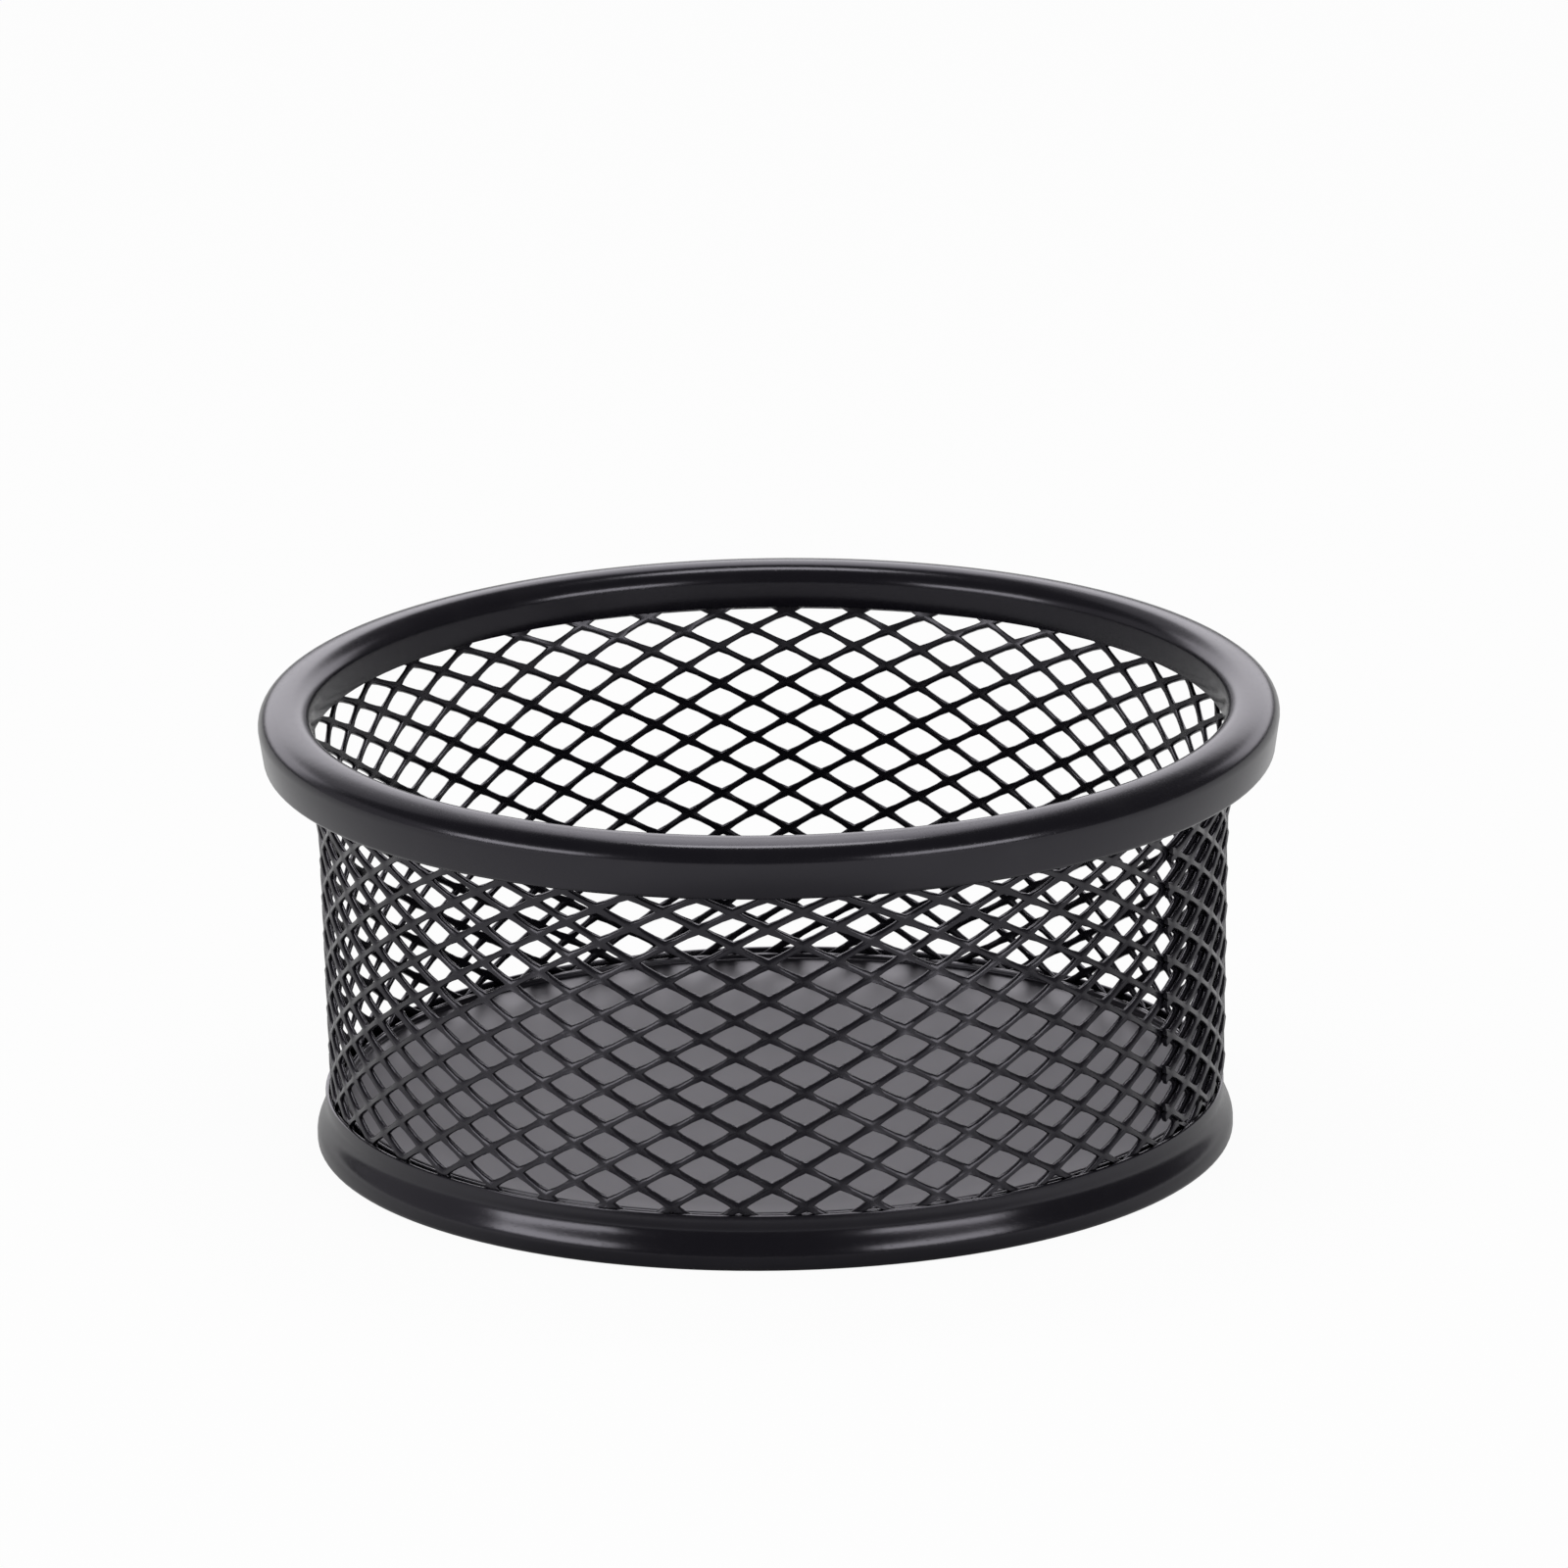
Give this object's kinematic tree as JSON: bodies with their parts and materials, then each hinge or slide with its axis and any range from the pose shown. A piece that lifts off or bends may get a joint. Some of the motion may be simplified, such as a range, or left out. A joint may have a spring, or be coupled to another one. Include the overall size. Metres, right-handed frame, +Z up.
{
  "type": "round mesh desk cup",
  "caption": "Low round desk cup of black expanded-steel mesh with a wide rolled rim, a solid floor and a flared base ring, for paper clips and small office things.",
  "frame": {"origin": "centre of the cup on the surface it stands on", "axes": "+Z up along the cup's axis, -Y towards the viewer of the picture, with the mesh's lap seam near +X"},
  "size_m": [0.092, 0.092, 0.0411],
  "materials": {
    "top_rim": "satin black paint",
    "mesh_wall": "satin black paint",
    "base_plate": "satin black paint",
    "base_ring": "satin black paint"
  },
  "bodies": {
    "root": {"top_rim": "top_rim", "mesh_wall": "mesh_wall", "base_plate": "base_plate", "base_ring": "base_ring"}
  },
  "joints": []
}
